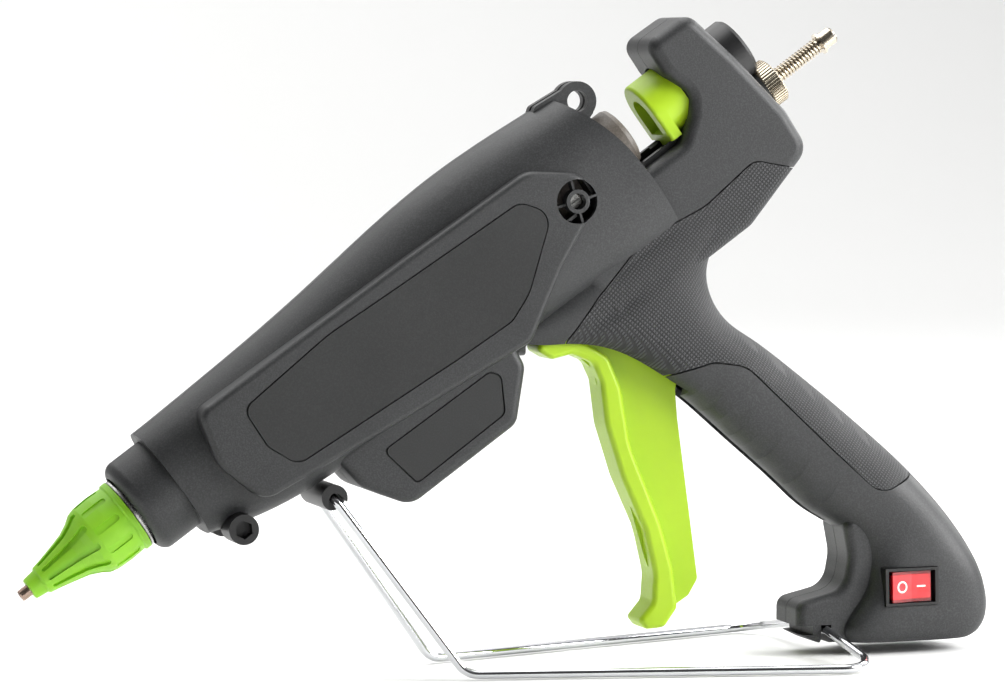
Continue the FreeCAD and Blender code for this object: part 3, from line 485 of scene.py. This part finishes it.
class GLUEGUN_OT_switch(bpy.types.Operator):
    """Finish the rocker switch and model the marks printed on its rocker"""
    bl_idname = "gluegun.switch"
    bl_label = "Rocker switch"

    def execute(self, context):
        size = context.scene.gluegun_switch
        finish_nodes(MADE["rocker"], ["rocker"])
        finish_nodes(MADE["black"], ["switch_body"])
        # The off ring lies on the raised half, the on bar on the sunk half.
        only(None)
        bpy.ops.mesh.primitive_circle_add(
            vertices=64, radius=size.ring_radius + size.mark_width / 2, fill_type="NGON")
        ring = context.object
        bpy.ops.object.mode_set(mode="EDIT")
        bpy.ops.mesh.select_all(action="SELECT")
        bpy.ops.mesh.inset(thickness=size.mark_width)
        bpy.ops.mesh.delete(type="FACE")
        self.thicken()
        self.lay(ring, -3.56 * MM, -4.265 * MM, 15.9)
        settle(ring, "rocker_off_mark", MADE["white"], "rocker")
        only(None)
        bpy.ops.mesh.primitive_plane_add(size=1)
        bar = context.object
        bar.scale = (size.bar_length, size.mark_width, 1)
        bpy.ops.object.transform_apply(scale=True)
        bpy.ops.object.mode_set(mode="EDIT")
        bpy.ops.mesh.select_all(action="SELECT")
        bpy.ops.mesh.bevel(offset=0.22 * MM, segments=6, affect="VERTICES")
        self.thicken()
        self.lay(bar, 3.71 * MM, -3.12 * MM, 1.29)
        settle(bar, "rocker_on_mark", MADE["white"], "rocker")
        return {"FINISHED"}

    def thicken(self):
        """Raises a flat outline in Edit Mode to a thin layer of ink with eased edges."""
        bpy.ops.mesh.select_all(action="SELECT")
        bpy.ops.mesh.extrude_region_move(TRANSFORM_OT_translate={"value": (0, 0, INK_THICK)})
        bpy.ops.mesh.select_all(action="SELECT")
        bpy.ops.mesh.normals_make_consistent(inside=False)
        bpy.ops.mesh.select_all(action="DESELECT")
        bpy.ops.mesh.edges_select_sharp(sharpness=math.radians(60))
        bpy.ops.mesh.bevel(offset=0.05 * MM, segments=2)
        bpy.ops.object.mode_set(mode="OBJECT")

    def lay(self, obj, x, y, lean):
        """Lays a flat mark on a rocker face that leans about the upright pin."""
        face = Matrix.Rotation(math.radians(lean), 4, "Z") @ Matrix.Rotation(
            math.radians(90), 4, "X")
        obj.matrix_world = Matrix.Translation(ROCKER_PIN + Vector((x, y, 0))) @ face


class GLUEGUN_OT_inlet(bpy.types.Operator):
    """Finish the mains inlet, the control board and the leads"""
    bl_idname = "gluegun.inlet"
    bl_label = "Inlet and electrics"

    def execute(self, context):
        finish_nodes(MADE["black"], ["appliance_inlet", "wiring"])
        finish_nodes(MADE["board"], ["control_board"])
        return {"FINISHED"}


class GLUEGUN_OT_stand(bpy.types.Operator):
    """Finish the bent wire stand"""
    bl_idname = "gluegun.stand"
    bl_label = "Wire stand"

    def execute(self, context):
        finish_nodes(MADE["chrome"], ["wire_stand"])
        return {"FINISHED"}


class GLUEGUN_OT_stage(bpy.types.Operator):
    """Make the floor, the soft lights and the camera"""
    bl_idname = "gluegun.stage"
    bl_label = "Stage"

    def execute(self, context):
        settings = context.scene.gluegun_stage
        only(None)
        bpy.ops.mesh.primitive_plane_add(size=12, location=(0, 0, -0.0004))
        floor = context.object
        bpy.ops.object.mode_set(mode="EDIT")
        bpy.ops.mesh.select_all(action="DESELECT")
        bpy.ops.object.mode_set(mode="OBJECT")
        for e in floor.data.edges:
            e.select = all(floor.data.vertices[i].co.y > 1 for i in e.vertices)
        bpy.ops.object.mode_set(mode="EDIT")
        bpy.ops.mesh.select_mode(type="EDGE")
        bpy.ops.mesh.extrude_region_move(TRANSFORM_OT_translate={"value": (0, 0, 6)})
        bpy.ops.object.mode_set(mode="OBJECT")
        for e in floor.data.edges:
            a, b = (floor.data.vertices[i].co for i in e.vertices)
            e.select = a.y > 5 and b.y > 5 and a.z < 0.1 and b.z < 0.1
        bpy.ops.object.mode_set(mode="EDIT")
        bpy.ops.mesh.bevel(offset=3.5, segments=24)
        bpy.ops.object.mode_set(mode="OBJECT")
        bpy.ops.object.shade_smooth()
        floor.name = "floor"
        m, tree, surface, where = new_material("Painted board, matt white")
        grain = add(tree, "ShaderNodeTexNoise", {"Vector": where, "Scale": 300.0})
        tree.links.new(add(tree, "ShaderNodeMapRange", {
            "Value": grain, "To Min": 0.75, "To Max": 0.85}), surface.inputs["Roughness"])
        surface.inputs["Base Color"].default_value = settings.floor_colour
        floor.data.materials.append(m)
        self.world(context)
        # A key light near the handle on the right, one overhead, a low one behind on the
        # right and one that whitens the floor far behind the gun.
        self.soft_light("key", (0.72, -0.48, 0.45), 0.5, 11.0, (0.1, 0, 0.1))
        self.soft_light("overhead", (-0.1, 0.2, 1.5), 1.2, 16.0)
        self.soft_light("rim", (1.1, 0.5, 0.7), 0.7, 8.0)
        self.soft_light("backdrop", (0.0, 3.4, 2.6), 3.0, 60.0, (0.0, 3.4, 0.0))
        self.camera(context, settings)
        return {"FINISHED"}

    def world(self, context):
        """White all round the back and the right, darker in front on the left."""
        world = bpy.data.worlds.new("Studio")
        context.scene.world = world
        context.scene.view_settings.view_transform = "Standard"
        world.use_nodes = True
        tree = world.node_tree
        split = add(tree, "ShaderNodeSeparateXYZ", {
            0: add(tree, "ShaderNodeTexCoord")}).node.outputs
        lean = add(tree, "ShaderNodeMath", {0: split[0], 1: 0.6, 2: split[1]},
                   operation="MULTIPLY_ADD")
        back = add(tree, "ShaderNodeMapRange", {
            "Value": lean, "From Min": -1.0, "From Max": 0.6, "To Min": 0.08,
            "To Max": 1.0}, interpolation_type="SMOOTHSTEP")
        tree.links.new(back, tree.nodes["Background"].inputs["Color"])
        tree.nodes["Background"].inputs["Strength"].default_value = 1.0

    def soft_light(self, name, place, size, watts, target=(0, 0, 0.1)):
        only(None)
        bpy.ops.object.light_add(type="AREA", location=place)
        light = bpy.context.object
        light.name = name
        light.data.shape = "SQUARE"
        light.data.size = size
        light.data.energy = watts
        aim = Vector(target) - Vector(place)
        light.rotation_euler = aim.to_track_quat("-Z", "Y").to_euler()

    def camera(self, context, settings):
        """16 degrees round towards the nozzle, a little above level, rolled one degree."""
        turn, rise, roll = math.radians(16.0), math.radians(3.7), math.radians(-1.0)
        back = Vector((-math.sin(turn) * math.cos(rise), -math.cos(turn) * math.cos(rise),
                       math.sin(rise)))
        right = Vector((math.cos(turn), -math.sin(turn), 0))
        up = back.cross(right)
        side = right * math.cos(roll) + up * math.sin(roll)
        top = up * math.cos(roll) - right * math.sin(roll)
        only(None)
        bpy.ops.object.camera_add()
        cam = context.object
        pose = Matrix((side, top, back)).transposed().to_4x4()
        middle = Vector((-0.0005, 0, 0.1071))
        pose.translation = middle + back * settings.camera_distance
        cam.matrix_world = pose
        cam.data.sensor_width = 36
        cam.data.lens = settings.lens
        cam.data.clip_end = 50
        context.scene.camera = cam


class GLUEGUN_PT_parts(bpy.types.Panel):
    bl_idname = "GLUEGUN_PT_parts"
    bl_label = "Glue Gun"
    bl_space_type = "VIEW_3D"
    bl_region_type = "UI"
    bl_category = "Glue Gun"

    def draw(self, context):
        column = self.layout.column()
        for operator in OPERATORS:
            column.operator(operator.bl_idname)
        for name in ("ring_radius", "bar_length", "mark_width"):
            column.prop(context.scene.gluegun_switch, name)
        for name in ("floor_colour", "lens", "camera_distance"):
            column.prop(context.scene.gluegun_stage, name)


OPERATORS = (GLUEGUN_OT_shells, GLUEGUN_OT_grips, GLUEGUN_OT_hot_end, GLUEGUN_OT_feed,
             GLUEGUN_OT_switch, GLUEGUN_OT_inlet, GLUEGUN_OT_stand, GLUEGUN_OT_stage)
CLASSES = (GlueGunSwitchSettings, GlueGunStageSettings, *OPERATORS, GLUEGUN_PT_parts)


def register():
    for c in CLASSES:
        bpy.utils.register_class(c)
    bpy.types.Scene.gluegun_switch = bpy.props.PointerProperty(type=GlueGunSwitchSettings)
    bpy.types.Scene.gluegun_stage = bpy.props.PointerProperty(type=GlueGunStageSettings)


def unregister():
    del bpy.types.Scene.gluegun_stage
    del bpy.types.Scene.gluegun_switch
    for c in reversed(CLASSES):
        bpy.utils.unregister_class(c)


def main():
    register()
    bpy.ops.gluegun.shells()
    bpy.ops.gluegun.grips()
    bpy.ops.gluegun.hot_end()
    bpy.ops.gluegun.feed()
    bpy.ops.gluegun.switch()
    bpy.ops.gluegun.inlet()
    bpy.ops.gluegun.stand()
    bpy.ops.gluegun.stage()


if __name__ == "__main__":
    main()
